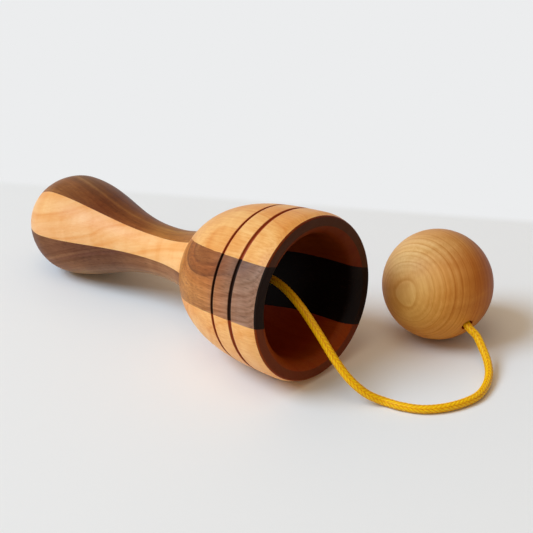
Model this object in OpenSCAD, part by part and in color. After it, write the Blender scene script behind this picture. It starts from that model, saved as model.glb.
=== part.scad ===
// Cup and ball toy: a turned cup on a staved handle, a ball, and the cord between them.
// The toy lies on its side as it was put down: the cup's ring and the handle's bulb
// touch the table, the cord arches out of the mouth, and the ball sits beside it.
// Millimetres, +Z up, +X from the handle towards the mouth.

/* [Cup] */
// Length of the cup from its rim to the face that the handle seats on
cup_length = 49; // [44:0.5:56]
// Largest radius of the cup
cup_radius = 28; // [25:0.1:31]
// Distance of the largest radius behind the rim
cup_widest_at = 3.8; // [2.5:0.1:6]
// How much the cup draws in from there to its rim
rim_draw_in = 1; // [0.5:0.1:1.5]
// How much the cup's side narrows towards the handle on each millimetre
cup_taper = 0.03; // [0:0.01:0.06]
// How far behind the seat the dome's curve would close
dome_overrun = 4.2; // [3.5:0.1:6]
// Fullness of the dome's curve
dome_power = 3.2; // [2.8:0.1:3.6]
// Width of the flat face round the mouth, with its rounded edge
rim_width = 3; // [2:0.1:4]
// Radius of the rounded outer edge of the rim
rim_round = 0.8; // [0.4:0.1:1.4]
// Width of the rolled lip inside the rim
lip_width = 3; // [1.5:0.1:3.5]
// Depth of the rolled lip inside the rim
lip_depth = 4.2; // [2:0.1:6]
// Depth at which the straight wall of the bowl ends
bowl_straight = 13; // [8:0.5:16]
// Depth of the bowl from the rim
bowl_depth = 32; // [27:0.5:35]

/* [Grooves] */
// Distance of the wide groove's middle behind the rim
wide_groove_at = 11; // [9:0.1:13]
// Width of the wide groove
wide_groove = 1.4; // [0.8:0.1:1.8]
// Distance of the thin groove's middle behind the rim
thin_groove_at = 19.4; // [17:0.1:23]
// Width of the thin groove
thin_groove = 1; // [0.6:0.1:1.4]
// Depth of both grooves
groove_depth = 0.9; // [0.4:0.1:1.2]

/* [Cup boards] */
// Thickness of the dark board in the middle of the cup
core_thickness = 19.6; // [17:0.1:22]
// How far the dark board lies off the cup's middle, towards the top
core_offset = 0.7; // [-1:0.1:1.5]
// Lean of the dark board from level
core_lean = 20.3; // [0:0.1:40]

/* [Handle] */
// Length of the handle from its seat on the cup to its round end
handle_length = 91.5; // [80:0.5:105]
// Radius of the handle where it seats on the cup
flare_radius = 12.8; // [10:0.1:13]
// Radius of the neck at its thinnest
neck_radius = 9.2; // [8:0.1:9.8]
// Distance of the thinnest place from the seat
neck_at = 19; // [14:0.5:24]
// Largest radius of the bulb
bulb_radius = 18.6; // [16:0.1:21]
// Length of the bulb's round end past its largest radius
bulb_end = 19.5; // [16:0.5:23]
// Fullness of the bulb's round end
bulb_power = 1.65; // [1.5:0.05:2.2]
// How late the swell from neck to bulb comes
swell_power = 1.18; // [1:0.01:1.4]
// Angle that each light stave takes of the round handle
light_stave_angle = 53.7; // [45:0.1:70]
// Turn of the first light stave's middle away from the top
light_stave_turn = 58.3; // [30:0.1:90]

/* [Joint and knots] */
// Radius of the dowel that joins handle and cup
dowel_radius = 6; // [4:0.1:7]
// Length of the dowel inside the handle
dowel_in_handle = 14; // [10:0.5:20]
// Depth of the dowel's socket in the cup
socket_depth = 12; // [9:0.5:13]
// Glue gap round the dowel
dowel_gap = 0.05; // [0.02:0.01:0.15]
// Room between the knot in the cup and the dowel
knot_room = 0.3; // [0.2:0.1:1]
// Radius of the knots at the cord's ends
knot_radius = 3; // [2.6:0.1:3.6]
// Length of the knots
knot_length = 4.6; // [3.6:0.1:6]

/* [Ball and cord] */
// Diameter of the ball
ball_d = 38; // [34:0.5:42]
// How far the ball's middle lies ahead of the rim
ball_ahead = 12.1; // [10:0.1:30]
// How far the ball's middle lies to the side of the cup's middle
ball_aside = 49.7; // [48:0.1:60]
// Turn of the ball's hole from straight ahead
hole_turn = 17; // [0:1:40]
// Dip of the ball's hole below level
hole_dip = 24.5; // [10:0.5:35]
// Diameter of the cord
cord_d = 2.8; // [2.2:0.1:3.2]
// Gap round the cord in the cup's hole and in the ball's
cord_gap = 0.5; // [0.3:0.05:0.7]
// Depth of the pocket for the knot on the ball's far side
pocket_depth = 7.5; // [6:0.5:10]
// Gap round the knot in its pocket
pocket_gap = 1; // [0.5:0.1:1.5]

/* [Hidden] */
$fn = 96;

cherry = "#e3b07a";
walnut = "#70493a";
birch = "#d9bd8c";
maple = "#c99a5b";
cord_yellow = "#d9a521";

bowl_radius = cup_radius - rim_draw_in - rim_width - lip_width;
ball_r = ball_d / 2;
cord_r = cord_d / 2;
hole_r = cord_r + cord_gap;
web = cup_length - socket_depth;
toy_length = cup_length + handle_length;
dark_stave_angle = 180 - light_stave_angle;
bulb_at = handle_length - bulb_end;

// Outer radius of the cup at a distance behind its rim
function cup_r(t) = t < cup_widest_at
    ? cup_radius - rim_draw_in * pow(1 - t / cup_widest_at, 2)
    : (cup_radius - cup_taper * (t - cup_widest_at)) * sqrt(1 - pow((t - cup_widest_at)
        / (cup_length + dome_overrun - cup_widest_at), dome_power));

// Radius of the bowl at a depth below its lip
function bowl_r(t) = t < bowl_straight ? bowl_radius
    : bowl_radius * sqrt(1 - pow((t - bowl_straight) / (bowl_depth - bowl_straight), 2));

// Radius of the handle at a distance from its seat on the cup
function handle_r(t) = t < neck_at
    ? neck_radius + (flare_radius - neck_radius) * pow(1 - t / neck_at, 2)
    : t < bulb_at
    ? neck_radius + (bulb_radius - neck_radius)
        * (1 - cos(180 * pow((t - neck_at) / (bulb_at - neck_at), swell_power))) / 2
    : bulb_radius * sqrt(max(0, 1 - pow((t - bulb_at) / bulb_end, bulb_power)));

// Points of a curve from one distance to another, as radius and distance
function cup_run(from, to, steps) =
    [for (i = [0:steps]) let (t = from + (to - from) * i / steps) [cup_r(t), t]];
function groove(at, width) = [
    [cup_r(at - width / 2) - groove_depth, at - width / 2],
    [cup_r(at + width / 2) - groove_depth, at + width / 2]];

rim_edge = [for (a = [90:-30:30])
    [cup_r(rim_round) - rim_round + rim_round * cos(a), rim_round - rim_round * sin(a)]];
cup_outside = concat(
    cup_run(rim_round, wide_groove_at - wide_groove / 2, 5),
    groove(wide_groove_at, wide_groove),
    cup_run(wide_groove_at + wide_groove / 2, thin_groove_at - thin_groove / 2, 4),
    groove(thin_groove_at, thin_groove),
    cup_run(thin_groove_at + thin_groove / 2, cup_length, 18));
// The bowl's floor ends at the cord's hole
floor_angle = asin(hole_r / bowl_radius);
bowl_inside = [for (i = [0:11])
    let (a = floor_angle + (90 - floor_angle) * i / 11)
    [bowl_radius * sin(a), bowl_straight + (bowl_depth - bowl_straight) * cos(a)]];
cup_section = concat(rim_edge, cup_outside,
    [[dowel_radius + dowel_gap, cup_length], [dowel_radius + dowel_gap, web], [hole_r, web]],
    bowl_inside,
    [for (a = [90:-12:30])
        [bowl_radius + 2 * lip_width * (1 - sin(a)), lip_depth * (1 - cos(a) / cos(30))]]);

swell_steps = 16;
end_steps = 12;
handle_outside = concat(
    [for (i = [0:5]) let (t = neck_at * i / 6) [handle_r(t), t]],
    [for (i = [0:swell_steps - 1])
        let (t = neck_at + (bulb_at - neck_at) * i / swell_steps) [handle_r(t), t]],
    [for (i = [0:end_steps])
        let (t = bulb_at + bulb_end * sin(90 * i / end_steps)) [handle_r(t), t]]);
handle_section = concat(handle_outside,
    [[0, dowel_in_handle], [dowel_radius + dowel_gap, dowel_in_handle], [dowel_radius + dowel_gap, 0]]);

// The toy lies on the line that touches both its widest rings
foot_points = [for (p = cup_outside) [p[1], p[0]]];
bulb_points = [for (p = handle_outside) [p[1] + cup_length, p[0]]];
function lowest(points, slope) =
    let (reach = [for (p = points) p[1] + slope * p[0]], most = max(reach))
    [for (i = [0:len(points) - 1]) if (reach[i] == most) points[i]][0];
function rest_slope(slope, rounds) = rounds == 0 ? slope
    : let (c = lowest(foot_points, slope), b = lowest(bulb_points, slope))
        rest_slope((c[1] - b[1]) / (b[0] - c[0]), rounds - 1);
tilt = atan(rest_slope(0.08, 8));
foot = lowest(foot_points, tan(tilt));
axis_height = foot[1] * cos(tilt) + foot[0] * sin(tilt);

// The origin is under the middle of the box round the toy and its ball
back_x = min([for (p = bulb_points) -p[0] * cos(tilt) - p[1] * sin(tilt)]);
middle_x = (back_x + ball_ahead + ball_r) / 2;
middle_y = (ball_aside + ball_r - cup_radius) / 2;

// Places are given from the point of the table under the middle of the mouth
module on_table() translate([-middle_x, -middle_y, 0]) children();
// Turned pieces are drawn with the rim at zero and the handle towards -Z
module on_axis() on_table() translate([0, 0, axis_height]) rotate([0, 90 - tilt, 0]) children();
function axis_point(t) = [-t * cos(tilt), 0, axis_height - t * sin(tilt)];

hole_axis = [cos(hole_dip) * cos(hole_turn), -cos(hole_dip) * sin(hole_turn), -sin(hole_dip)];
ball_middle = [ball_ahead, ball_aside, ball_r];
pocket_floor = ball_r - pocket_depth;
module on_ball() on_table() translate(ball_middle)
    rotate([0, 0, -hole_turn]) rotate([0, 90 + hole_dip, 0]) children();

// The cord's route between the cup's floor and the ball's hole
lead_in = [axis_point(web), axis_point((web + bowl_depth) / 2), axis_point(bowl_depth)];
arch = [[-26.6, 0, 28], [-19.7, -0.9, 30.3], [-11.1, -2.3, 29.8], [-2.6, -3.8, 26.6], [5.5, -4.9, 21],
    [12.5, -5.3, 14.5], [17.7, -5, 9.8], [21.4, -3.8, 6.5], [24.6, -1.7, 3.7], [28.3, 1.1, 1.8]];
loop = [[28.3, 1.1, 1.8], [33.8, 2.8, 1.5], [39.5, 5.6, 1.5], [44, 10.6, 1.5], [47, 16.9, 1.5],
    [48.2, 23.7, 1.5]];
rise = [[48.2, 23.7, 1.5], [46.6, 30.7, 1.6], [43.7, 36.4, 2.4], [40, 40.4, 4.1], [36.3, 42.7, 6.4],
    [32.7, 44.2, 9]];
lead_out = [ball_middle + ball_r * hole_axis, ball_middle, ball_middle - pocket_floor * hole_axis];
whole_route = concat(lead_in, arch, [for (i = [1:len(loop) - 1]) loop[i]],
    [for (i = [1:len(rise) - 1]) rise[i]], lead_out);

function unit(v) = v / norm(v);
// A smooth curve through the points between two places of the route
function curve(points, first, last, steps) = [for (i = [first:last - 1], s = [0:steps - 1])
        bend(points, i, s / steps), points[last]];
function bend(points, i, u) =
    let (a = points[max(i - 1, 0)], b = points[i], c = points[i + 1],
        d = points[min(i + 2, len(points) - 1)])
    0.5 * (2 * b + (c - a) * u + (2 * a - 5 * b + 4 * c - d) * u * u
        + (3 * b - a - 3 * c + d) * u * u * u);

sides = 8;
// One round tube swept along a curve; its end faces are square to the directions given
module tube(path, first_way, last_way) {
    count = len(path);
    ways = [for (i = [0:count - 1]) i == 0 ? first_way : i == count - 1 ? last_way
        : unit(path[i + 1] - path[i - 1])];
    points = [for (i = [0:count - 1], k = [0:sides - 1])
        let (side = unit(cross([0, 0, 1], ways[i])), top = cross(ways[i], side),
            a = 360 * (k + 0.5) / sides)
        path[i] + cord_r * (cos(a) * side + sin(a) * top)];
    walls = [for (i = [0:count - 2], k = [0:sides - 1], half = [0, 1])
        let (n = (k + 1) % sides)
        half == 0 ? [i * sides + k, (i + 1) * sides + k, i * sides + n]
            : [i * sides + n, (i + 1) * sides + k, (i + 1) * sides + n]];
    start = [for (k = [1:sides - 2]) [0, k, k + 1]];
    end = [for (k = [1:sides - 2])
        [(count - 1) * sides, (count - 1) * sides + k + 1, (count - 1) * sides + k]];
    polyhedron(points, concat(start, walls, end), convexity = 10);
}

axis_way = [cos(tilt), 0, sin(tilt)];
loop_start = len(lead_in) + len(arch) - 1;
loop_end = loop_start + len(loop) - 1;
route_end = len(whole_route) - 1;
function way_at(i) = unit(whole_route[i + 1] - whole_route[i - 1]);

module cup_blank() on_axis() rotate_extrude() polygon([for (p = cup_section) [p[0], -p[1]]]);
// A board of the glued-up cup, between two heights over the cup's middle
module cup_board(low, high) on_axis() rotate([0, 0, -core_lean])
    translate([-high, -2 * cup_radius, -2 * cup_length]) cube([high - low, 4 * cup_radius, 4 * cup_length]);

module cup_core() color(walnut) intersection() {
    cup_blank();
    cup_board(core_offset - core_thickness / 2, core_offset + core_thickness / 2);
}
module cup_cheek_upper() color(cherry) intersection() {
    cup_blank();
    cup_board(core_offset + core_thickness / 2, 2 * cup_radius);
}
module cup_cheek_lower() color(cherry) intersection() {
    cup_blank();
    cup_board(-2 * cup_radius, core_offset - core_thickness / 2);
}

// One wedge of the staved handle, turned to the common outline
module stave(from, angle) on_axis() rotate([0, 0, from]) rotate_extrude(angle = angle)
    polygon([for (p = handle_section) [p[0], -cup_length - p[1]]]);
light_from = 180 + light_stave_turn - light_stave_angle / 2;
dark_from = light_from + light_stave_angle;
module handle_light_a() color(cherry) stave(light_from, light_stave_angle);
module handle_light_b() color(cherry) stave(light_from + 180, light_stave_angle);
module handle_dark_a() color(walnut) stave(dark_from, dark_stave_angle);
module handle_dark_b() color(walnut) stave(dark_from + 180, dark_stave_angle);

// The dowel reaches from the bottom of the handle's bore to just behind the knot
dowel_front = web + knot_length + knot_room;
module handle_dowel() color(birch) on_axis() translate([0, 0, -cup_length - dowel_in_handle])
    cylinder(r = dowel_radius, h = cup_length + dowel_in_handle - dowel_front);

// A pulled-tight knot: flat where it bears on its seat, round everywhere else
module knot() rotate_extrude() polygon(concat([[0, 0]],
    [for (i = [0:8]) [knot_radius * (0.72 + 0.28 * sin(180 * i / 8)), knot_length * i / 8]],
    [[0, knot_length]]));
module cup_knot() color(cord_yellow) on_axis() translate([0, 0, -web]) mirror([0, 0, 1]) knot();
module ball_knot() color(cord_yellow) on_ball() translate([0, 0, -pocket_floor])
    mirror([0, 0, 1]) knot();

module cord_lead() color(cord_yellow) on_table()
    tube(curve(whole_route, 0, loop_start, 2), axis_way, way_at(loop_start));
module cord_loop() color(cord_yellow) on_table()
    tube(curve(whole_route, loop_start, loop_end, 2), way_at(loop_start), way_at(loop_end));
module cord_rise() color(cord_yellow) on_table()
    tube(curve(whole_route, loop_end, route_end, 2), way_at(loop_end), -hole_axis);

// The ball is drilled through, with a wider pocket for the knot on its far side
module ball() color(maple) on_ball() difference() {
    sphere(r = ball_r);
    translate([0, 0, -ball_r]) cylinder(r = hole_r, h = 2 * ball_r + 1);
    translate([0, 0, -ball_r - 1]) cylinder(r = knot_radius + pocket_gap, h = pocket_depth + 1);
}

cup_core();
cup_cheek_upper();
cup_cheek_lower();
handle_light_a();
handle_light_b();
handle_dark_a();
handle_dark_b();
handle_dowel();
cup_knot();
cord_lead();
cord_loop();
cord_rise();
ball();
ball_knot();
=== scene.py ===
import bpy
import math
from mathutils import Matrix, Vector


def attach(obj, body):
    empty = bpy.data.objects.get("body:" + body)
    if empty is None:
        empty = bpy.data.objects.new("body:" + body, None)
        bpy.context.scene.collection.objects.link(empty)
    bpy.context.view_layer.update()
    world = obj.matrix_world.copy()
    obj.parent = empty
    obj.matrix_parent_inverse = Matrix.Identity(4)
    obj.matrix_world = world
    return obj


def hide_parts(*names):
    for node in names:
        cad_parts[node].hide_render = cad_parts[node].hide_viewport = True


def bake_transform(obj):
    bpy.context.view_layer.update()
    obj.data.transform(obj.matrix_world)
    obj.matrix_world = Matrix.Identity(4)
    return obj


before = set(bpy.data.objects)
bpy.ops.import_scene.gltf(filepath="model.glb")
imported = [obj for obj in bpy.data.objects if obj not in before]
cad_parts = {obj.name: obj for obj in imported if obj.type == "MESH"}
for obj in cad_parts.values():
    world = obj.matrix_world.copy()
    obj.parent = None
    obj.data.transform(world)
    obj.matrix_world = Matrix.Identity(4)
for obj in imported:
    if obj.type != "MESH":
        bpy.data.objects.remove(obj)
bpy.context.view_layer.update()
scene = bpy.context.scene
scene.view_settings.view_transform = "Standard"
mm = 0.001

# the camera stands where the photograph was taken from
photoCamera = {
    "place": (0.293273, -0.288348, 0.222431),           # metres
    "right": (0.724089, 0.689454, -0.018671),
    "up": (-0.299415, 0.338612, 0.892016),
    "back": (0.621326, -0.640308, 0.451618),
    "lens": 85.89,
    "sensor": 36,
    "nearest": 0.01,                                    # metres
}
bpy.ops.object.select_all(action="DESELECT")
bpy.ops.object.camera_add(location=photoCamera["place"])
camera = bpy.context.object
camera.name = "photoCamera"
sides = Matrix((photoCamera["right"], photoCamera["up"], photoCamera["back"])).transposed()
camera.rotation_euler = sides.to_euler()
camera.data.lens = photoCamera["lens"]
camera.data.sensor_width = photoCamera["sensor"]
camera.data.clip_start = photoCamera["nearest"]
scene.camera = camera
print("camera set")

# the line that cup and handle were turned on, from the middle of the mouth back, in mm and degrees
toyLine = {"mouth": (54.4597, -20.35, 28.738), "tilt": 4.83765}
tilt = math.radians(toyLine["tilt"])
mouth = Vector(toyLine["mouth"]) * mm
under = Vector((mouth.x, mouth.y, 0))                   # on the table, under the mouth
ahead = Vector((math.cos(tilt), 0, math.sin(tilt)))     # towards the mouth
aside = Vector((0, 1, 0))
above = Vector((-math.sin(tilt), 0, math.cos(tilt)))


def sine(degrees):
    return math.sin(math.radians(degrees))


def cosine(degrees):
    return math.cos(math.radians(degrees))


def between(first, last, count):
    return [first + (last - first) * i / count for i in range(count + 1)]


# mm behind the rim, mm off the line, degrees from aside to above
def onLine(t, radius=0.0, turn=90.0):
    return mouth - ahead * t * mm + (aside * cosine(turn) + above * sine(turn)) * radius * mm


def hexColour(code):
    parts = [int(code[i:i + 2], 16) / 255 for i in (1, 3, 5)]
    return [x / 12.92 if x <= 0.04045 else ((x + 0.055) / 1.055) ** 2.4 for x in parts] + [1.0]


def addNode(tree, kind, feeds=None, **settings):
    made = tree.nodes.new(kind)
    for key, value in settings.items():
        setattr(made, key, value)
    for key, value in (feeds or {}).items():
        if isinstance(value, bpy.types.NodeSocket):
            tree.links.new(value, made.inputs[key])
        else:
            made.inputs[key].default_value = value
    return made


def newMaterial(name):
    made = bpy.data.materials.new(name)
    made.use_nodes = True
    made.node_tree.nodes.clear()
    return made, made.node_tree


def setStops(ramp, stops):
    row = ramp.color_ramp.elements
    while len(row) < len(stops):
        row.new(0.5)
    for element, (place, colour) in zip(row, stops):
        element.position = place
        element.color = hexColour(colour)


# the cord, its route in mm from the table under the middle of the mouth
cordFacts = {
    "diameter": 2.8,
    "gap": 0.5,            # mm between the cord and the holes that it runs through
    "columns": 6,          # plaited columns round the cord
    "lay": 1.5,            # mm along the cord from one stitch to the next
    "slant": 1.25,         # stitches that a strand runs on while it crosses its column
    "relief": 0.26,        # mm that a strand stands over its gaps
    "columnEdge": 0.55,    # share of the relief that is left between two columns
    "stitchEnd": 0.2,      # and between two stitches
    "step": 0.2,           # mm between the rings of the mesh
    "around": 48,          # points in a ring
    "perSpan": 60,         # fine points from one point of the route to the next
    "arch": [(-26.6, 0, 28), (-19.7, -0.9, 30.3), (-11.1, -2.3, 29.8), (-2.6, -3.8, 26.6), (5.5, -4.9, 21),
             (12.5, -5.3, 14.5), (17.7, -5, 9.8), (21.4, -3.8, 6.5), (24.6, -1.7, 3.7), (28.3, 1.1, 1.8)],
    "loop": [(33.8, 2.8, 1.5), (39.5, 5.6, 1.5), (44, 10.6, 1.5), (47, 16.9, 1.5), (48.2, 23.7, 1.5)],
    "rise": [(46.6, 30.7, 1.6), (43.7, 36.4, 2.4), (40, 40.4, 4.1), (36.3, 42.7, 6.4), (32.7, 44.2, 9)],
    "sweepEnd": (45, 12.5, 1.8),       # where the cord has turned fully with the sweep
    "liftEnd": (43.7, 36.4, 1.5),      # and with the lift
}
ballFacts = {
    "middle": (66.5597, 29.35, 19.0),
    "radius": 19.0,
    "turn": 17.0,          # degrees that the drilled hole turns towards the toy
    "dip": 24.5,           # degrees that it dips
    "pocket": 4.0,
    "pocketDepth": 7.5,
    "edge": 0.35,          # rounding of the drilled edges
    "edgeUnder": 0.02,     # mm that the rounding starts under the ball's skin
    "edgeRise": 0.9,       # share of the rounding's height
    "edgeClear": 0.012,    # radians from the rounding to the skin
    "edgeSteps": 6,
    "arcSteps": 96,
    "steps": 144,
    "skin": 0.06,          # mm below the skin where the drilled surfaces begin
    "eyeWay": (-0.03, -0.977, 0.21),        # towards the eye in its rings
    "eyeAt": 18.6,                          # mm from the middle to the eye
    # points upwards, so that the paler end of the ball's colour change along it lies on its top as painted
    # window light
    "fibre": (-0.494, 0.197, 0.847),
}
webBack, webFront = 37, 32                              # the cup's drilled floor, mm behind the rim
ballMiddle = Vector(ballFacts["middle"]) * mm
dip, turn = ballFacts["dip"], ballFacts["turn"]
holeWay = Vector((cosine(dip) * cosine(turn), -cosine(dip) * sine(turn), -sine(dip)))
holeRadius = cordFacts["diameter"] / 2 + cordFacts["gap"]
pocketFloor = ballFacts["radius"] - ballFacts["pocketDepth"]


# a smooth curve through the points, evenly spaced
def smoothRoute(points, first, last):
    perSpan = cordFacts["perSpan"]
    fine = []
    for i in range(first, last):
        a, b = points[max(i - 1, 0)], points[i]
        c, d = points[i + 1], points[min(i + 2, len(points) - 1)]
        for k in range(perSpan):
            u = k / perSpan
            fine.append(0.5 * (2 * b + (c - a) * u + (2 * a - 5 * b + 4 * c - d) * u * u
                               + (3 * b - a - 3 * c + d) * u ** 3))
    fine.append(points[last].copy())
    along = [0.0]
    for p, q in zip(fine, fine[1:]):
        along.append(along[-1] + (q - p).length)
    count = round(along[-1] / (cordFacts["step"] * mm))
    even, k = [], 0
    for i in range(count + 1):
        s = along[-1] * i / count
        while k < len(fine) - 2 and along[k + 1] < s:
            k += 1
        share = (s - along[k]) / (along[k + 1] - along[k])
        even.append(fine[k].lerp(fine[k + 1], min(1.0, share)))
    return even


# the way, side and top of each ring, with the side carried along without twist
def routeFrames(route, firstWay, lastWay, side):
    inner = [(q - p).normalized() for p, q in zip(route, route[2:])]
    frames = []
    for way in [firstWay.normalized()] + inner + [lastWay.normalized()]:
        side = (side - way * side.dot(way)).normalized()
        frames.append((way, side.copy(), way.cross(side)))
    return frames


def braidTube(name, route, frames, radius, start):
    around, columns = cordFacts["around"], cordFacts["columns"]
    relief, lay = cordFacts["relief"] * mm, cordFacts["lay"] * mm
    edge, end = cordFacts["columnEdge"], cordFacts["stitchEnd"]
    points, crown, braid, s = [], [], [], start
    for i, (p, (way, side, top)) in enumerate(zip(route, frames)):
        s += (p - route[i - 1]).length if i else 0.0
        for k in range(around):
            angle = 2 * math.pi * k / around
            column, across = divmod(columns * k / around, 1)
            lean = cordFacts["slant"] * (1 if column % 2 else -1)
            stitch = s / lay + lean * (across - 0.5) + 0.5 * (column // 2 % 2)
            bulge = edge + (1 - edge) * math.sqrt(math.sin(math.pi * across))
            hump = math.sqrt(max(0.0, 1 - (2 * (stitch % 1) - 1) ** 2))
            high = (end + (1 - end) * hump) * bulge
            r = radius - relief + relief * high
            points.append(p + (side * math.cos(angle) + top * math.sin(angle)) * r)
            crown.append(high)
            braid.append((stitch, across + column, 0.0))
    count = len(route)
    faces = []
    for i in range(count - 1):
        for k in range(around):
            n = (k + 1) % around
            faces.append((i * around + k, i * around + n, (i + 1) * around + n, (i + 1) * around + k))
    faces.append(tuple(range(around - 1, -1, -1)))
    faces.append(tuple((count - 1) * around + k for k in range(around)))
    mesh = bpy.data.meshes.new(name)
    mesh.from_pydata(points, [], faces)
    mesh.attributes.new("crown", "FLOAT", "POINT").data.foreach_set("value", crown)
    flat = [x for b in braid for x in b]
    mesh.attributes.new("braid", "FLOAT_VECTOR", "POINT").data.foreach_set("vector", flat)
    mesh.update()
    piece = bpy.data.objects.new(name, mesh)
    scene.collection.objects.link(piece)
    for polygon in mesh.polygons:
        polygon.use_smooth = len(polygon.vertices) == 4
    return piece


leadIn = [onLine(webBack), onLine((webBack + webFront) / 2), onLine(webFront)]
ballSeat = ballMiddle - holeWay * pocketFloor * mm      # of the knot
leadOut = [ballMiddle + holeWay * ballFacts["radius"] * mm, ballMiddle, ballSeat]
arch, loop, rise = ([under + Vector(p) * mm for p in cordFacts[k]] for k in ("arch", "loop", "rise"))
wholeRoute = leadIn + arch + loop + rise + leadOut
loopStart = len(leadIn) + len(arch) - 1
loopEnd = loopStart + len(loop)
lastPoint = len(wholeRoute) - 1
cordRadius = cordFacts["diameter"] / 2 * mm
lengths = {"cordLead": (0, loopStart), "cordLoop": (loopStart, loopEnd), "cordRise": (loopEnd, lastPoint)}
cords, done, side = [], 0.0, aside
for name, (first, last) in lengths.items():
    route = smoothRoute(wholeRoute, first, last)
    ends = [wholeRoute[min(i + 1, lastPoint)] - wholeRoute[max(i - 1, 0)] for i in (first, last)]
    frames = routeFrames(route, ends[0], ends[1], side)
    piece = braidTube(name, route, frames, cordRadius, done)
    length = sum((q - p).length for p, q in zip(route, route[1:]))
    done, side = done + length, frames[-1][1]
    cords.append((piece, route, length))
print("cord braided:", round(done / mm, 1), "mm in", len(cords), "lengths")

# the knots at the cord's two ends
knotFacts = {"radius": 3.0, "length": 4.6, "strand": 1.02, "rings": 150}


# an overhand knot pulled tight, seated at a point
def tieKnot(name, seat, way):
    side = way.orthogonal().normalized()
    top = way.cross(side)
    reach = knotFacts["radius"] - knotFacts["strand"]
    lift = knotFacts["length"] / 2 - knotFacts["strand"]
    middle = seat + way * knotFacts["length"] / 2 * mm
    route = []
    for i in range(knotFacts["rings"] + 1):
        a = 2 * math.pi * i / knotFacts["rings"]
        x, y = (math.sin(a) + 2 * math.sin(2 * a)) / 3, (math.cos(a) - 2 * math.cos(2 * a)) / 3
        route.append(middle + (side * x + top * y) * reach * mm + way * math.sin(3 * a) * lift * mm)
    closing = route[1] - route[-2]
    return braidTube(name, route, routeFrames(route, closing, closing, way), knotFacts["strand"] * mm, 0.0)


cupKnot = tieKnot("cupKnot", onLine(webBack), -ahead)
ballKnot = tieKnot("ballKnot", ballSeat, -holeWay)
print("knots tied")

# turned wood: a section is drawn point by point and spun round the line
turnedMesh = {"merge": 0.002, "sliver": 0.001, "crease": 38}    # mm, mm, degrees


def drawSection(name, points):
    bpy.ops.object.select_all(action="DESELECT")
    bpy.ops.mesh.primitive_plane_add(size=mm, location=(0, 0, 0))
    piece = bpy.context.object
    piece.name = piece.data.name = name
    bpy.ops.object.mode_set(mode="EDIT")
    bpy.ops.mesh.select_all(action="SELECT")
    bpy.ops.mesh.merge(type="CENTER")
    bpy.ops.transform.translate(value=points[0])
    for p, q in zip(points, points[1:]):
        bpy.ops.mesh.extrude_region_move(TRANSFORM_OT_translate={"value": q - p})
    bpy.ops.mesh.select_all(action="SELECT")
    return piece


def closeTurning():
    bpy.ops.mesh.select_all(action="SELECT")
    bpy.ops.mesh.remove_doubles(threshold=turnedMesh["merge"] * mm)
    bpy.ops.mesh.dissolve_degenerate(threshold=turnedMesh["sliver"] * mm)
    bpy.ops.mesh.select_all(action="SELECT")
    bpy.ops.mesh.normals_make_consistent(inside=False)
    bpy.ops.object.mode_set(mode="OBJECT")
    bpy.ops.object.shade_smooth_by_angle(angle=math.radians(turnedMesh["crease"]))


def copyPiece(piece, name):
    bpy.ops.object.select_all(action="DESELECT")
    piece.select_set(True)
    bpy.context.view_layer.objects.active = piece
    bpy.ops.object.duplicate()
    made = bpy.context.object
    made.name = made.data.name = name
    return made


# the cup, in mm behind the rim and mm off the line
cupFacts = {
    "length": 49.0, "radius": 28.0, "widestAt": 3.8, "drawIn": 1.0,
    "taper": 0.03, "overrun": 4.2, "power": 3.2,        # the dome of its outside
    "rimWidth": 3.0, "rimRound": 0.8, "lipWidth": 3.0, "lipDepth": 4.2, "lipEnd": 30,
    "bowlStraight": 13.0, "socket": 6.05,
    "grooves": [(11.0, 1.4), (19.4, 1.0)],              # place and width
    "grooveDepth": 0.9, "groovePower": 0.7,
    "softReach": 0.1, "softDrop": 0.08,                 # the softened lips of a groove
    "grooveDarkIn": 0.1, "grooveDarkOut": 0.38, "grooveDarkMost": 0.97,   # the darkening in and beside a groove, partly left by burning and partly painted shade
    "coreThick": 19.6, "coreOffset": 0.7, "coreLean": 20.3,
    "edgeSteps": 7, "grooveSteps": 10, "floorSteps": 34, "wallSteps": 9, "lipSteps": 16,
    "outsideStep": 0.8, "rimRows": (0.08, 0.5), "steps": 216,
    "flatDepth": 0.05, "edgeDepth": 0.7,                # how deep the rim's flat and its edge reach
    "floorRoom": 0.5, "wallRoom": 2.9,                  # spare mm when the bowl's faces are picked out
}


def cupRadius(t):
    f = cupFacts
    if t < f["widestAt"]:
        return f["radius"] - f["drawIn"] * (1 - t / f["widestAt"]) ** 2
    share = (t - f["widestAt"]) / (f["length"] + f["overrun"] - f["widestAt"])
    return (f["radius"] - f["taper"] * (t - f["widestAt"])) * math.sqrt(1 - share ** f["power"])


def outsideRows(first, last):
    steps = round((last - first) / cupFacts["outsideStep"])
    return [(t, cupRadius(t)) for t in between(first, last, steps)]


# a groove with softened lips and a round bottom
def grooveRows(at, wide):
    f = cupFacts
    first, last = at - wide / 2, at + wide / 2
    rows = [(first, cupRadius(first) - f["softDrop"])]
    for a in between(0, 180, f["grooveSteps"])[1:-1]:
        deep = f["grooveDepth"] * sine(a) ** f["groovePower"]
        rows.append((at - wide / 2 * cosine(a), cupRadius(at) - deep))
    return rows + [(last, cupRadius(last) - f["softDrop"])]


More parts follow.
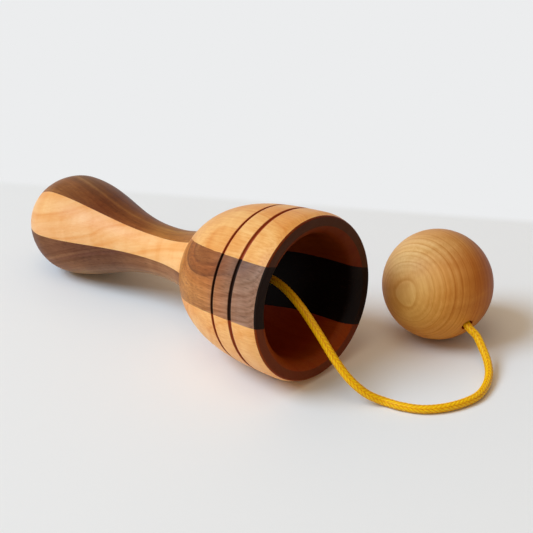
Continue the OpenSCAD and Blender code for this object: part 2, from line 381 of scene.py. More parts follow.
def cupSection():
    f = cupFacts
    bowl = f["radius"] - f["drawIn"] - f["rimWidth"] - f["lipWidth"]
    rows, start = [], f["rimRound"]
    for a in between(90, 0, f["edgeSteps"])[:-1]:       # the rounded outer edge of the rim
        rows.append((start * (1 - sine(a)), cupRadius(start) - start * (1 - cosine(a))))
    for at, wide in f["grooves"]:
        reach = wide / 2 + f["softReach"]
        rows += outsideRows(start, at - reach) + grooveRows(at, wide)
        start = at + reach
    rows += outsideRows(start, f["length"])
    rows += [(f["length"], f["socket"]), (webBack, f["socket"]), (webBack, holeRadius)]
    floor = math.degrees(math.asin(holeRadius / bowl))
    for a in between(floor, 90, f["floorSteps"]):       # the bowl's round floor, out from the drilled hole
        rows.append((f["bowlStraight"] + (webFront - f["bowlStraight"]) * cosine(a), bowl * sine(a)))
    rows += [(t, bowl) for t in between(f["bowlStraight"], f["lipDepth"], f["wallSteps"])[1:-1]]
    for a in between(90, f["lipEnd"], f["lipSteps"]):   # the lip rolls over from the wall to the rim's flat
        rows.append((f["lipDepth"] * (1 - cosine(a) / cosine(f["lipEnd"])),
                     bowl + f["lipWidth"] * (1 - sine(a)) / (1 - sine(f["lipEnd"]))))
    flat = bowl + f["lipWidth"]
    rows += [(0, flat + (rows[0][1] - flat) * share) for share in f["rimRows"]]
    return rows + rows[:1]


blank = drawSection("cupBlank", [onLine(t, r) for t, r in cupSection()])
bpy.ops.mesh.spin(steps=cupFacts["steps"], angle=2 * math.pi, center=mouth, axis=ahead)
closeTurning()
lean = 90 - cupFacts["coreLean"]
boardWay = aside * cosine(lean) + above * sine(lean)    # square to the glued faces
coreHigh = cupFacts["coreOffset"] + cupFacts["coreThick"] / 2
coreLow = cupFacts["coreOffset"] - cupFacts["coreThick"] / 2
# how high each cut lies, and on which side of it the wood falls off
boardCuts = {"cupCheekUpper": [(coreHigh, -1)], "cupCheekLower": [(coreLow, 1)],
             "cupCore": [(coreHigh, 1), (coreLow, -1)]}
pieces = {}
for name, cuts in boardCuts.items():
    pieces[name] = copyPiece(blank, name)
    bpy.ops.object.mode_set(mode="EDIT")
    for height, way in cuts:
        bpy.ops.mesh.select_all(action="SELECT")
        bpy.ops.mesh.bisect(plane_co=mouth + boardWay * height * mm, plane_no=boardWay * way,
                            use_fill=True, clear_outer=True)
    closeTurning()
bpy.data.objects.remove(blank)
print("cup turned and cut into", len(boardCuts), "boards")

# the handle, in mm behind the cup and mm off the line
handleFacts = {
    "length": 91.5, "flare": 12.8, "neck": 9.2, "neckAt": 19.0, "bulb": 18.6, "bulbEnd": 19.5,
    "bulbPower": 1.65, "swellPower": 1.18, "bore": 14.0,
    "lightAngle": 53.7, "lightMiddle": 148.3,           # of the light stave, in degrees from aside to above
    "shaftSteps": 64, "endSteps": 30, "turnStep": 1.7,
}


def handleRadius(t):
    f = handleFacts
    bulbAt = f["length"] - f["bulbEnd"]
    if t < f["neckAt"]:
        return f["neck"] + (f["flare"] - f["neck"]) * (1 - t / f["neckAt"]) ** 2
    if t < bulbAt:
        share = ((t - f["neckAt"]) / (bulbAt - f["neckAt"])) ** f["swellPower"]
        return f["neck"] + (f["bulb"] - f["neck"]) * (1 - math.cos(math.pi * share)) / 2
    return f["bulb"] * math.sqrt(max(0.0, 1 - ((t - bulbAt) / f["bulbEnd"]) ** f["bulbPower"]))


def handleSection():
    f = handleFacts
    bulbAt = f["length"] - f["bulbEnd"]
    places = between(0, bulbAt, f["shaftSteps"])
    places += [bulbAt + f["bulbEnd"] * sine(a) for a in between(0, 90, f["endSteps"])[1:]]
    rows = [(t, handleRadius(t)) for t in places]
    return rows + [(f["bore"], 0), (f["bore"], cupFacts["socket"]), (0, cupFacts["socket"])]


lightFrom = handleFacts["lightMiddle"] - handleFacts["lightAngle"] / 2
lightTo = handleFacts["lightMiddle"] + handleFacts["lightAngle"] / 2
wedges = {"handleLight": (lightFrom, lightTo), "handleDark": (lightTo, lightFrom + 180)}
halfTurn = Matrix.Translation(mouth) @ Matrix.Rotation(math.pi, 4, ahead) @ Matrix.Translation(-mouth)
for name, (first, last) in wedges.items():
    stave = drawSection(name + "A", [onLine(cupFacts["length"] + t, r, first) for t, r in handleSection()])
    bpy.ops.mesh.edge_face_add()
    angle = last - first
    bpy.ops.mesh.spin(steps=round(angle / handleFacts["turnStep"]), angle=-math.radians(angle),
                      center=mouth, axis=ahead)
    closeTurning()
    match = copyPiece(stave, name + "B")                # its match is the same wedge, half a turn on
    match.matrix_world = halfTurn
    bpy.ops.object.transform_apply(location=True, rotation=True, scale=True)
    pieces[name + "A"] = stave
    pieces[name + "B"] = match
print("handle turned:", 2 * len(wedges), "staves")


# half the ball's outline, in mm along the drilled hole and mm off it
def ballSection():
    f = ballFacts
    edge = f["edge"]
    edges = []
    for radius, way in ((holeRadius, 1), (f["pocket"], -1)):    # drilled edges, rounded over
        start = math.asin((radius + edge) / (f["radius"] - f["edgeUnder"]))
        corner = (f["radius"] - edge) * math.cos(start)
        turnOver = [(way * (corner + edge * math.sin(a) * f["edgeRise"]), radius + edge - edge * math.cos(a))
                    for a in between(0, math.pi / 2 - start, f["edgeSteps"])]
        edges.append((turnOver, start + f["edgeClear"]))
    (holeEdge, holeFrom), (pocketEdge, pocketFrom) = edges
    arc = [(f["radius"] * math.cos(a), f["radius"] * math.sin(a))
           for a in between(holeFrom, math.pi - pocketFrom, f["arcSteps"])]
    inside = [(-pocketFloor, f["pocket"]), (-pocketFloor, holeRadius)]
    return holeEdge + arc + pocketEdge[::-1] + inside + holeEdge[:1]


ballUp = holeWay.orthogonal().normalized()
ball = drawSection("ballTurned", [ballMiddle + holeWay * x * mm + ballUp * r * mm for x, r in ballSection()])
bpy.ops.mesh.spin(steps=ballFacts["steps"], angle=2 * math.pi, center=ballMiddle, axis=holeWay)
closeTurning()
print("ball turned and drilled")

# wood: layers lie square to one way, fibres run along another, all in mm from a place in the board
# sawn, turned and oiled, so the layers show as soft bands where the turning cuts them, under a low satin
# mm across the layers, along the fibre and square to both
grainSizes = {
    "sway": (20, 45.45, 20),
    "layers": (1, 71.43, 33.33),                        # the first is times the wood's own ring width
    "streaks": (0.5263, 16.67, 0.6667),
    "curl": (14.29, 7.143, 14.29),
    "pores": (0.3846, 3.333, 0.3846),                   # a little coarser than real, so that they show
}
grainLook = {
    "poreEdge": 0.1,                                    # how softly a pore begins
    "fine": 0.3, "fineRough": -0.05,                    # streaks that polish up, and by how much
    "coarse": 0.7, "coarseRough": 0.06,                 # streaks that stay coarser
    "depth": 0.05,                                      # mm of relief
}


def perMm(sizes):
    return [1 / size for size in sizes]


# stops at places in mm, as shares of the way from the first to the last
def asShares(stops):
    first, last = stops[0][0], stops[-1][0]
    return [((place - first) / (last - first), colour) for place, colour in stops]


# layers are never quite flat, and some curve along the board, as in a trunk that was not straight
def bendLayers(tree, wood, grain, lengthwise):
    slow = addNode(tree, "ShaderNodeMapping", {"Vector": grain, "Scale": perMm(grainSizes["sway"])})
    sway = addNode(tree, "ShaderNodeTexNoise", {"Vector": slow.outputs[0], "Scale": 1.0, "Detail": 2.0})
    shift = addNode(tree, "ShaderNodeMapRange", {"Value": sway.outputs["Fac"], "To Min": -wood["sway"],
                    "To Max": wood["sway"]}).outputs[0]
    if "bow" in wood:
        squared = addNode(tree, "ShaderNodeMath", {0: lengthwise, 1: lengthwise}, operation="MULTIPLY")
        shift = addNode(tree, "ShaderNodeMath", {0: squared.outputs[0], 1: wood["bow"], 2: shift},
                        operation="MULTIPLY_ADD").outputs[0]
    shiftWay = addNode(tree, "ShaderNodeCombineXYZ", {"X": shift}).outputs[0]
    return addNode(tree, "ShaderNodeVectorMath", {0: grain, 1: shiftWay}, operation="ADD").outputs[0]


# broad tones of the board, given at distances across its layers
def boardTones(tree, wood, bent, lengthwise):
    across = addNode(tree, "ShaderNodeSeparateXYZ", {"Vector": bent}).outputs["X"]
    along = addNode(tree, "ShaderNodeMapRange", {"Value": across, "From Min": wood["tones"][0][0],
                    "From Max": wood["tones"][-1][0]}).outputs[0]
    tones = addNode(tree, "ShaderNodeValToRGB", {"Fac": along})
    setStops(tones, asShares(wood["tones"]))
    if "frontSheen" not in wood:
        return tones.outputs[0]
    # towards the cup's mouth the tones turn paler and greyer over the dark heart: painted sheen of the
    # window light
    fade = addNode(tree, "ShaderNodeMapRange", {"Value": lengthwise, "From Min": wood["sheenFrom"],
                   "From Max": wood["sheenTo"]}).outputs[0]
    frontSheen = addNode(tree, "ShaderNodeValToRGB", {"Fac": along})
    setStops(frontSheen, asShares(wood["frontSheen"]))
    return addNode(tree, "ShaderNodeMix", {"Factor": fade, 6: tones.outputs[0], 7: frontSheen.outputs[0]},
                   data_type="RGBA").outputs[2]


# the grooves were burned with a wire while the cup spun; their dark colour, in each groove and just beside
# it, is partly that burning and partly painted shade
def darkenGroovesBurnAndShade(tree, where, colour, burntAndShaded):
    f = cupFacts
    alongTurn = Matrix((-ahead, aside, -ahead.cross(aside))).transposed().to_euler()
    behind = addNode(tree, "ShaderNodeMapping", {"Vector": where, "Location": mouth, "Rotation": alongTurn,
                     "Scale": (mm, mm, mm)}, vector_type="TEXTURE").outputs[0]
    behind = addNode(tree, "ShaderNodeSeparateXYZ", {"Vector": behind}).outputs["X"]
    for at, wide in f["grooves"]:
        off = addNode(tree, "ShaderNodeMath", {0: behind, 1: at}, operation="SUBTRACT").outputs[0]
        off = addNode(tree, "ShaderNodeMath", {0: off}, operation="ABSOLUTE").outputs[0]
        burnAndShade = addNode(tree, "ShaderNodeMapRange", {"Value": off, "From Min": wide / 2 - f["grooveDarkIn"],
                       "From Max": wide / 2 + f["grooveDarkOut"], "To Min": f["grooveDarkMost"], "To Max": 0.0},
                       interpolation_type="SMOOTHSTEP").outputs[0]
        colour = addNode(tree, "ShaderNodeMix", {"Factor": burnAndShade, 6: colour, 7: hexColour(burntAndShaded)},
                         data_type="RGBA").outputs[2]
    return colour


def woodFinish(name, wood, board, scorchAndShade=False):
    made, tree = newMaterial(name)
    layer = Vector(board["layer"]).normalized()
    fibre = Vector(board["fibre"])
    fibre = (fibre - layer * fibre.dot(layer)).normalized()
    turned = Matrix((layer, fibre, layer.cross(fibre))).transposed().to_euler()
    where = addNode(tree, "ShaderNodeTexCoord").outputs["Object"]
    grain = addNode(tree, "ShaderNodeMapping", {"Vector": where, "Location": board["place"],
                    "Rotation": turned, "Scale": (mm, mm, mm)}, vector_type="TEXTURE").outputs[0]
    lengthwise = addNode(tree, "ShaderNodeSeparateXYZ", {"Vector": grain}).outputs["Y"]
    bent = bendLayers(tree, wood, grain, lengthwise)
    colour = boardTones(tree, wood, bent, lengthwise)
    # growth layers, uneven in width
    wide, long, deep = perMm(grainSizes["layers"])
    layerScale = (wide / wood["ring"], long, deep)
    layerWay = addNode(tree, "ShaderNodeMapping", {"Vector": bent, "Scale": layerScale})
    layers = addNode(tree, "ShaderNodeTexNoise", {"Vector": layerWay.outputs[0], "Scale": 1.0,
                     "Detail": 2.0, "Roughness": 0.55}).outputs["Fac"]
    # fibre streaks
    streakWay = addNode(tree, "ShaderNodeMapping", {"Vector": grain, "Scale": perMm(grainSizes["streaks"])})
    streak = addNode(tree, "ShaderNodeTexNoise", {"Vector": streakWay.outputs[0], "Scale": 1.0,
                     "Detail": 5.0, "Roughness": 0.62}).outputs["Fac"]
    # curl in the fibres, seen as soft cross bands
    curlWay = addNode(tree, "ShaderNodeMapping", {"Vector": grain, "Scale": perMm(grainSizes["curl"])})
    curl = addNode(tree, "ShaderNodeTexNoise", {"Vector": curlWay.outputs[0], "Scale": 1.0,
                   "Detail": 3.0, "Roughness": 0.55, "Distortion": 0.6}).outputs["Fac"]
    shades = [(layers, wood["layers"]), (streak, wood["streaks"]), (curl, wood["curl"])]
    if "lines" in wood:                                 # late wood: a darker line at the end of each year
        lines = addNode(tree, "ShaderNodeTexWave", {"Vector": bent, "Scale": math.pi / (10 * wood["year"]),
                        "Distortion": 0.6, "Detail": 2.0, "Detail Scale": 0.35},
                        wave_type="BANDS", bands_direction="X", wave_profile="SAW").outputs["Fac"]
        shades.append((lines, wood["lines"]))
    if "toneAndLightDrift" in wood:                                 # the board's colour changes along its length; on most boards this change is painted light and shade, named where each board gives it
        toneAndLightDrift = addNode(tree, "ShaderNodeMapRange", {"Value": lengthwise, "From Min": wood["toneAndLightDrift"][0][0],
                        "From Max": wood["toneAndLightDrift"][-1][0]}).outputs[0]
        shades.append((toneAndLightDrift, asShares(wood["toneAndLightDrift"])))
    for value, stops in shades:
        shade = addNode(tree, "ShaderNodeValToRGB", {"Fac": value})
        setStops(shade, stops)
        colour = addNode(tree, "ShaderNodeMix", {"Factor": 1.0, 6: colour, 7: shade.outputs[0]},
                         data_type="RGBA", blend_type="MULTIPLY").outputs[2]
    # pores cut along the fibre
    look = grainLook
    poreWay = addNode(tree, "ShaderNodeMapping", {"Vector": grain, "Scale": perMm(grainSizes["pores"])})
    pore = addNode(tree, "ShaderNodeTexNoise", {"Vector": poreWay.outputs[0], "Scale": 1.0, "Detail": 1.0})
    poreTone = addNode(tree, "ShaderNodeMapRange", {"Value": pore.outputs["Fac"],
                       "From Min": wood["poreFrom"],
                       "From Max": wood["poreFrom"] + look["poreEdge"]}).outputs[0]
    poreMix = addNode(tree, "ShaderNodeMath", {0: poreTone, 1: wood["poreShare"]}, operation="MULTIPLY")
    colour = addNode(tree, "ShaderNodeMix", {"Factor": poreMix.outputs[0], 6: colour,
                     7: hexColour(wood["pore"])}, data_type="RGBA").outputs[2]
    if scorchAndShade:
        colour = darkenGroovesBurnAndShade(tree, where, colour, wood["burntAndShaded"])
    gloss = addNode(tree, "ShaderNodeMapRange", {"Value": streak, "From Min": look["fine"],
                    "From Max": look["coarse"], "To Min": wood["rough"] + look["fineRough"],
                    "To Max": wood["rough"] + look["coarseRough"]}).outputs[0]
    height = addNode(tree, "ShaderNodeMath", {0: streak, 1: poreTone}, operation="SUBTRACT").outputs[0]
    bump = addNode(tree, "ShaderNodeBump", {"Height": height, "Strength": wood["bump"],
                   "Distance": look["depth"] * mm}).outputs[0]
    skin = addNode(tree, "ShaderNodeBsdfPrincipled", {"Base Color": colour, "Roughness": gloss,
                   "Normal": bump, "IOR": 1.5, "Specular IOR Level": wood["shine"]})
    addNode(tree, "ShaderNodeOutputMaterial", {"Surface": skin.outputs[0]})
    return made


def plain(tone):                                        # one tone all through the board
    return [(-20, tone), (20, tone)]


# oiled cherry: fine, even and warm, with faint lines and a soft curl
cherryWood = {
    "tones": [(-20, "#e5af67"), (-1, "#e6b16a"), (5, "#edbb78")],
    "ring": 3.0, "sway": 3.0, "year": 5.5,              # mm
    "lines": [(0.0, "#ffffff"), (0.86, "#ffffff"), (0.95, "#f7e6cf"), (1.0, "#fefaf4")],
    "layers": [(0.35, "#f8e6cc"), (0.6, "#ffffff")],
    "streaks": [(0.28, "#f0dabb"), (0.62, "#ffffff")],
    "curl": [(0.3, "#f4e0c4"), (0.65, "#ffffff")],
    "pore": "#b8783c", "poreFrom": 0.64, "poreShare": 0.14,
    "burntAndShaded": "#983812", "rough": 0.42, "bump": 0.12, "shine": 0.2,
}
# the lower cheek is lighter than the upper: painted light bounced up from the floor
cherryLowBounceLit = dict(cherryWood, tones=plain("#fbc47f"))
cherryHandle = dict(
    cherryWood, year=9.0,
    tones=[(-20, "#f2bb7b"), (-10, "#f4c286"), (-5, "#f0bb80"), (3, "#f0bd88"), (10, "#eab87d")],
    lines=[(0.0, "#ffffff"), (0.8, "#ffffff"), (0.93, "#f8e8d2"), (1.0, "#ffffff")],
    streaks=[(0.25, "#fbf0e0"), (0.6, "#ffffff")], curl=[(0.3, "#f8e8d2"), (0.65, "#ffffff")],
)
# cut across at the rim, the wood drinks more oil and darkens; the rim is darkened further with painted
# shade, and the rim's edges and the bowl are darkened mainly with painted shade in the hollow
cherryRimShaded = dict(cherryWood, tones=plain("#4b2c1d"), rough=0.5, pore="#2a1408", shine=0.08)
cherryBowlShaded = dict(cherryRimShaded, tones=plain("#682a05"))
# the lower cheek's rim and bowl are lighter than the upper's: painted light from the floor and into the
# mouth; deeper in its bowl the colour darkens again, painted shade
cherryLowRimShaded = dict(cherryRimShaded, tones=plain("#6e3417"))
cherryLowBowlShaded = dict(cherryRimShaded, tones=plain("#8a3d09"), toneAndLightDrift=[(-9, "#ffcfff"), (-3, "#ffffff")])

# oiled walnut: open pores, brown with soft darker layers
walnutWood = {
    "ring": 1.6, "sway": 0.6,                           # mm
    "layers": [(0.3, "#d8ccc4"), (0.6, "#ffffff")],
    "streaks": [(0.25, "#dcd2cc"), (0.65, "#ffffff")],
    "curl": [(0.3, "#e8e0da"), (0.65, "#ffffff")],
    "pore": "#2e1a10", "poreFrom": 0.6, "poreShare": 0.28,
    "burntAndShaded": "#1c0d07", "rough": 0.42, "bump": 0.2, "shine": 0.08,
}
# the cup's middle board, with a dark heart that its turning cuts into an eye
walnutCore = dict(
    walnutWood, ring=0.8, sway=0.3, bow=0.0016,
    layers=[(0.32, "#e2d7cd"), (0.6, "#ffffff")], streaks=[(0.25, "#cec2ba"), (0.65, "#ffffff")],
    tones=[(-9, "#cb9070"), (-4, "#d08f69"), (-2, "#d28f68"), (-1.1, "#d08960"), (-0.5, "#c07953"),
           (-0.12, "#c07c5a"), (0.0, "#86503a"), (0.25, "#9d5f43"), (0.85, "#ac684b"), (1.0, "#8c523a"),
           (1.25, "#a86a4e"), (4, "#ae6e52")],
    # paler and greyer towards the mouth: painted sheen of the window light
    sheenFrom=-21, sheenTo=-14,
    frontSheen=[(-9, "#dc9a72"), (-5, "#da9a72"), (-2.5, "#cc8d68"), (-1.1, "#ca926e"), (-0.4, "#ba8263"),
           (0.0, "#a6765e"), (0.3, "#ad7a5f"), (4, "#b07c60")],
    # bluer towards the mouth, painted cool sheen of the window; warmer and yellower towards the back
    toneAndLightDrift=[(-34, "#ffffc0"), (-24, "#fdfbcc"), (-17, "#e8e8de"), (-8, "#cee4fd"), (0, "#cee4fd")],
)
# the upper dark stave, with one light layer that curves along it
walnutTop = dict(
    walnutWood, bow=-0.0018,
    tones=[(-10, "#bc7d39"), (-4, "#b27437"), (-2.4, "#a97136"), (-1, "#b07637"), (0, "#c59047"),
           (1, "#a76f2a"), (2.5, "#a36a25"), (8, "#aa6a1e")],
    toneAndLightDrift=[(-50, "#dad6ee"), (-40, "#d5d5ff"), (-20, "#ac9097"), (0, "#d1b9b9"), (12, "#ffffff")],
)
# the lower dark stave, with a light layer in its end, lighter towards the table and near the cup: painted
# light bounced from the floor and the cup
walnutLowBounceLit = dict(
    walnutWood, bow=0.0033,
    tones=[(-9, "#d6b484"), (-2.5, "#b48157"), (1.5, "#986847"), (2.6, "#9b694e"), (3.4, "#a87855"),
           (4.5, "#986748"), (6.5, "#8c5d42"), (16, "#885d44")],
    toneAndLightDrift=[(-70, "#d8c4af"), (-60, "#fffbe8"), (-50, "#f6f3f2"), (-40, "#cdc7d2"), (-28, "#c9c3cf"),
           (-10, "#fffcfa")],
)
# walnut cut across at the rim darkens with the oil and is darkened further with painted shade; its bowl is
# darkened with painted shade, more so deeper in
walnutRimShaded = dict(walnutWood, tones=plain("#22140e"), rough=0.5, shine=0.06)
walnutBowlShaded = dict(walnutRimShaded, tones=plain("#261b15"), toneAndLightDrift=[(-8, "#8a7a74"), (-3, "#ffffff")])

# waxed maple: thin uneven rings round a pale side, with a redder band behind, partly heart wood and partly
# painted shade of the ball's side turned from the window
mapleWoodPaintedLight = {
    "tones": [(-38, "#d2a262"), (-34, "#bf8746"), (-29, "#a8682d"), (-16, "#d7a261"), (-5, "#eac894"),
              (1, "#f8ecc6")],
    # paler towards the top: painted light of the window on the ball's upper side
    "toneAndLightDrift": [(-18, "#fee49c"), (-5, "#edc789"), (5, "#eccca4"), (12, "#f5eede"), (18, "#ffffff")],
    "ring": 1.1, "sway": 0.9, "year": 2.4,              # mm
    "layers": [(0.3, "#eddcc4"), (0.62, "#ffffff")],
    "lines": [(0.0, "#ffffff"), (0.82, "#fdf9f2"), (0.95, "#eddcc4"), (1.0, "#f8f0e6")],
    "streaks": [(0.25, "#f4eadc"), (0.6, "#ffffff")],
    "curl": [(0.3, "#f1e6d6"), (0.65, "#ffffff")],
    "pore": "#9a6530", "poreFrom": 0.66, "poreShare": 0.15, "rough": 0.45, "bump": 0.1, "shine": 0.1,
}
mapleHole = dict(mapleWoodPaintedLight, tones=[(-38, "#8a3c1a"), (0, "#8a3c1a")], shine=0.05)   # darker brown in the hole and the pocket
birchWood = dict(mapleWoodPaintedLight, tones=[(-10, "#e0c596"), (10, "#d9bd8c")])              # sanded, left bare


# a way given along the line to the rear, aside and above
def woodWay(t, y, z):
    return -ahead * t + aside * y + above * z


# a place given likewise, in mm from the middle of the mouth
def boardAt(t, y, z):
    return mouth + woodWay(t, y, z) * mm


# each board: its wood, the woods of its cut rim and bowl, which carry painted shade, the node and slot it
# stands for, and how it lies
boards = {
    "cupCore": {
        "wood": walnutCore, "ends": (walnutRimShaded, walnutBowlShaded), "node": "cup_core", "slot": "walnut",
        "place": boardAt(0, -20.43, 20.43), "layer": woodWay(0.12, -0.707, 0.707), "fibre": ahead},
    "cupCheekUpper": {
        "wood": cherryWood, "ends": (cherryRimShaded, cherryBowlShaded), "node": "cup_cheek_upper", "slot": "cherry",
        "place": boardAt(0, -11.8, 23.8), "layer": woodWay(0.16, -0.7, 0.7), "fibre": ahead},
    "cupCheekLower": {
        "wood": cherryLowBounceLit, "ends": (cherryLowRimShaded, cherryLowBowlShaded),
        "node": "cup_cheek_lower", "slot": "cherry",
        "place": boardAt(0, -10, -22), "layer": woodWay(-0.12, -0.9, -0.4), "fibre": ahead},
    "handleLightA": {
        "wood": cherryHandle, "ends": (), "node": "handle_light_a", "slot": "cherry",
        "place": boardAt(100, -9, 6), "layer": woodWay(0.247, 0, 1), "fibre": ahead},
    "handleLightB": {
        "wood": cherryHandle, "ends": (), "node": "handle_light_b", "slot": "cherry",
        "place": boardAt(90, 9, -6), "layer": woodWay(0.12, 0.3, -0.9), "fibre": ahead},
    "handleDarkA": {
        "wood": walnutLowBounceLit, "ends": (), "node": "handle_dark_a", "slot": "walnut",
        "place": boardAt(60, 0, 0), "layer": woodWay(0, 0, 1), "fibre": ahead},
    "handleDarkB": {
        "wood": walnutTop, "ends": (), "node": "handle_dark_b", "slot": "walnut",
        "place": boardAt(80, -0.7, 12), "layer": woodWay(0, 1, 0.05), "fibre": ahead},
}


# 0 for the outside, 1 for the flat of the rim, 2 for the rim's edges and the bowl
def cupSurface(place):
    f = cupFacts
    off = place - mouth
    behind = -off.dot(ahead) / mm
    out = (off + ahead * behind * mm).length / mm
    bowl = f["radius"] - f["drawIn"] - f["rimWidth"] - (f["wallRoom"] if behind > f["lipDepth"] else 0)
    inside = behind < webFront + f["floorRoom"] and out < bowl
    if inside or f["flatDepth"] < behind < f["edgeDepth"]:
        return 2
    return 1 if behind < f["flatDepth"] else 0


for name, board in boards.items():
    piece = pieces[name]
    piece.data.materials.clear()
    piece.data.materials.append(woodFinish(name + "Oiled", board["wood"], board, scorchAndShade=bool(board["ends"])))
    for place, wood in zip(("RimShaded", "BowlShaded"), board["ends"]):
        piece.data.materials.append(woodFinish(name + place + "Oiled", wood, board))
    if board["ends"]:
        for polygon in piece.data.polygons:
            polygon.material_index = cupSurface(polygon.center)
    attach(piece, "toy")
    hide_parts(board["node"])
eye = ballMiddle + Vector(ballFacts["eyeWay"]) * ballFacts["eyeAt"] * mm
ballBoard = {"place": eye, "layer": ballFacts["eyeWay"], "fibre": ballFacts["fibre"]}
ball.data.materials.clear()
ball.data.materials.append(woodFinish("ballWaxedPaintedLight", mapleWoodPaintedLight, ballBoard))
ball.data.materials.append(woodFinish("ballHoleDarker", mapleHole, ballBoard))
for polygon in ball.data.polygons:                      # hole and pocket are brown, with their rounded edges
    off = polygon.center - ballMiddle
    polygon.material_index = 1 if off.length < (ballFacts["radius"] - ballFacts["skin"]) * mm else 0
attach(ball, "ball")
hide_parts("ball")
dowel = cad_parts["handle_dowel"]
dowelBoard = {"place": boardAt(52, 0, 0), "layer": (0, 0.3, 1), "fibre": ahead}
dowel.data.materials.clear()
dowel.data.materials.append(woodFinish("dowelBirch", birchWood, dowelBoard))
print("wood finished")

# braided cotton cord, dyed yellow and lightly waxed: soft sheen on each strand, and darker in the gaps,
# where the darkening is painted shade
cordLook = {
    # from the gaps to the crown of a strand: painted shade in the gaps, the dye's yellow on the crowns
    "tones": [(0.1, "#a05a00"), (0.45, "#e69a00"), (0.75, "#ffbe02"), (1.0, "#ffd60c")],
    "threads": (6.0, 1.2, 1.0),                         # about six threads to a strand
    "threadTones": [(0.3, "#e2d6c4"), (0.65, "#ffffff")],
    "threadDepth": 0.05,                                # mm
    "bump": 0.3, "rough": 0.38, "shine": 0.18,
}
cordFinish, tree = newMaterial("cordBraidedCotton")
crown = addNode(tree, "ShaderNodeAttribute", attribute_name="crown").outputs["Fac"]
braid = addNode(tree, "ShaderNodeAttribute", attribute_name="braid").outputs["Vector"]
tone = addNode(tree, "ShaderNodeValToRGB", {"Fac": crown})
setStops(tone, cordLook["tones"])
threadWay = addNode(tree, "ShaderNodeMapping", {"Vector": braid, "Scale": cordLook["threads"]})
thread = addNode(tree, "ShaderNodeTexNoise", {"Vector": threadWay.outputs[0], "Scale": 1.0,
                 "Detail": 2.0}).outputs["Fac"]
threadTone = addNode(tree, "ShaderNodeValToRGB", {"Fac": thread})
setStops(threadTone, cordLook["threadTones"])
# the dye's colour with the painted shade of the gaps, flecked by threads
dyed = addNode(tree, "ShaderNodeMix", {"Factor": 1.0, 6: tone.outputs[0], 7: threadTone.outputs[0]},
               data_type="RGBA", blend_type="MULTIPLY").outputs[2]
fuzz = addNode(tree, "ShaderNodeBump", {"Height": thread, "Strength": cordLook["bump"],
               "Distance": cordLook["threadDepth"] * mm}).outputs[0]
skin = addNode(tree, "ShaderNodeBsdfPrincipled", {"Base Color": dyed, "Roughness": cordLook["rough"],
               "Normal": fuzz, "IOR": 1.5, "Specular IOR Level": cordLook["shine"]})
addNode(tree, "ShaderNodeOutputMaterial", {"Surface": skin.outputs[0]})

(lead, leadRoute, leadLength), (sweep, sweepRoute, sweepLength), (tail, tailRoute, tailLength) = cords
cordNodes = {"cord_lead": lead, "cord_loop": sweep, "cord_rise": tail,
             "cup_knot": cupKnot, "ball_knot": ballKnot}
for node, piece in cordNodes.items():
    piece.data.materials.append(cordFinish)
    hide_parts(node)
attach(lead, "toy")
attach(cupKnot, "toy")
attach(ballKnot, "cord_tail")
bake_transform(sweep)
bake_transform(tail)
print("cord dyed and hung")

# pale floor with a brighter sweep behind it, a large cool window, a soft warm lamp and a weak warm fill
studio = {                                              # in metres
    "floor": "#e9e9e9", "floorSize": 8, "floorDrop": 0.00002, "floorRough": 0.6, "floorShine": 0.2,
    "backdrop": "#ecedee", "sweepWay": (-0.5155, 0.857, 0.0), "sweepFrom": 0.0896, "sweepEdge": 0.003,
    "fill": (1.0, 0.786, 0.56), "fillLeast": 0.22, "fillMost": 0.68, "fillWay": (-0.55, -0.6, 0.58),
    "fillPower": 2.0, "aim": (0.02, 0, 0.02),
    "window": {"place": (-1.225, -2.065, 2.555), "size": 1.93, "power": 112.0, "colour": (0.6, 0.8, 1.0)},
    "lamp": {"place": (0.12, -0.40, 1.44), "size": 0.9, "power": 3.0, "colour": (1.0, 0.8, 0.56)},
}


# 1 where the eye, a reflection or a clear piece looks, 0 where light falls
def lookedAt(tree):
    rays = addNode(tree, "ShaderNodeLightPath").outputs
    seen = addNode(tree, "ShaderNodeMath", {0: rays["Is Camera Ray"], 1: rays["Is Glossy Ray"]},
                   operation="MAXIMUM").outputs[0]
    return addNode(tree, "ShaderNodeMath", {0: seen, 1: rays["Is Transmission Ray"]},
                   operation="MAXIMUM").outputs[0]


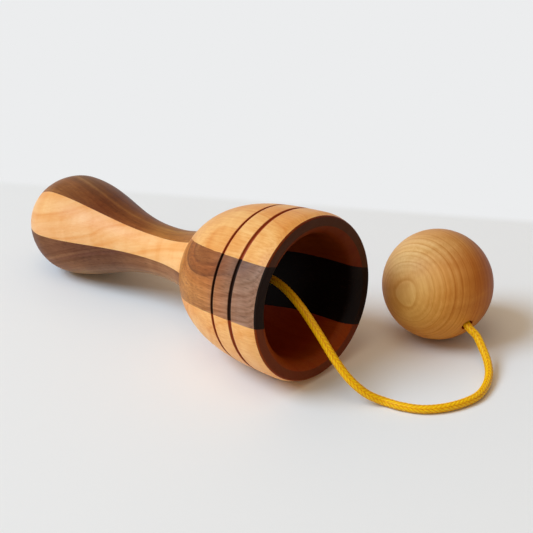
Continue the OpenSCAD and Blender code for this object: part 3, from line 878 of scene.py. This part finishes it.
bpy.ops.object.select_all(action="DESELECT")
bpy.ops.mesh.primitive_plane_add(size=studio["floorSize"], location=(0, 0, -studio["floorDrop"]))
floor = bpy.context.object
floor.name = "paleFloor"
floorPaint, tree = newMaterial("floorMattPaint")        # rolled matt paint, so hardly any gloss
where = addNode(tree, "ShaderNodeTexCoord").outputs["Object"]
beyond = addNode(tree, "ShaderNodeVectorMath", {0: where, 1: studio["sweepWay"]}, operation="DOT_PRODUCT")
beyond = addNode(tree, "ShaderNodeMapRange", {"Value": beyond.outputs["Value"],
                 "From Min": studio["sweepFrom"] - studio["sweepEdge"],
                 "From Max": studio["sweepFrom"] + studio["sweepEdge"]}).outputs[0]
bright = addNode(tree, "ShaderNodeMath", {0: beyond, 1: lookedAt(tree)}, operation="MULTIPLY").outputs[0]
paint = addNode(tree, "ShaderNodeBsdfPrincipled", {"Base Color": hexColour(studio["floor"]),
                "Roughness": studio["floorRough"], "Specular IOR Level": studio["floorShine"]}).outputs[0]
glow = addNode(tree, "ShaderNodeEmission", {"Color": hexColour(studio["backdrop"]), "Strength": 1.0})
skin = addNode(tree, "ShaderNodeMixShader", {0: bright, 1: paint, 2: glow.outputs[0]}).outputs[0]
addNode(tree, "ShaderNodeOutputMaterial", {"Surface": skin})
floor.data.materials.append(floorPaint)

world = bpy.data.worlds.new("studioFill")
scene.world = world
world.use_nodes = True
tree = world.node_tree
tree.nodes.clear()
way = addNode(tree, "ShaderNodeTexCoord").outputs["Generated"]
facing = addNode(tree, "ShaderNodeVectorMath", {0: way, 1: studio["fillWay"]}, operation="DOT_PRODUCT")
facing = addNode(tree, "ShaderNodeMapRange", {"Value": facing.outputs["Value"], "From Min": -1.0,
                 "From Max": 1.0})
facing = addNode(tree, "ShaderNodeMath", {0: facing.outputs[0], 1: studio["fillPower"]}, operation="POWER")
strength = addNode(tree, "ShaderNodeMapRange", {"Value": facing.outputs[0], "To Min": studio["fillLeast"],
                   "To Max": studio["fillMost"]}).outputs[0]
fill = addNode(tree, "ShaderNodeBackground", {"Color": studio["fill"] + (1.0,), "Strength": strength})
backdrop = addNode(tree, "ShaderNodeBackground", {"Color": hexColour(studio["backdrop"]), "Strength": 1.0})
both = addNode(tree, "ShaderNodeMixShader", {0: lookedAt(tree), 1: fill.outputs[0], 2: backdrop.outputs[0]})
addNode(tree, "ShaderNodeOutputWorld", {"Surface": both.outputs[0]})

for name in ("window", "lamp"):
    source = studio[name]
    bpy.ops.object.light_add(type="AREA", location=source["place"])
    light = bpy.context.object
    light.name = name + "Light"
    light.data.shape = "DISK"
    light.data.size = source["size"]
    light.data.energy = source["power"]
    light.data.color = source["colour"]
    shine = Vector(studio["aim"]) - Vector(source["place"])
    light.rotation_euler = shine.to_track_quat("-Z", "Y").to_euler()
print("studio lit")
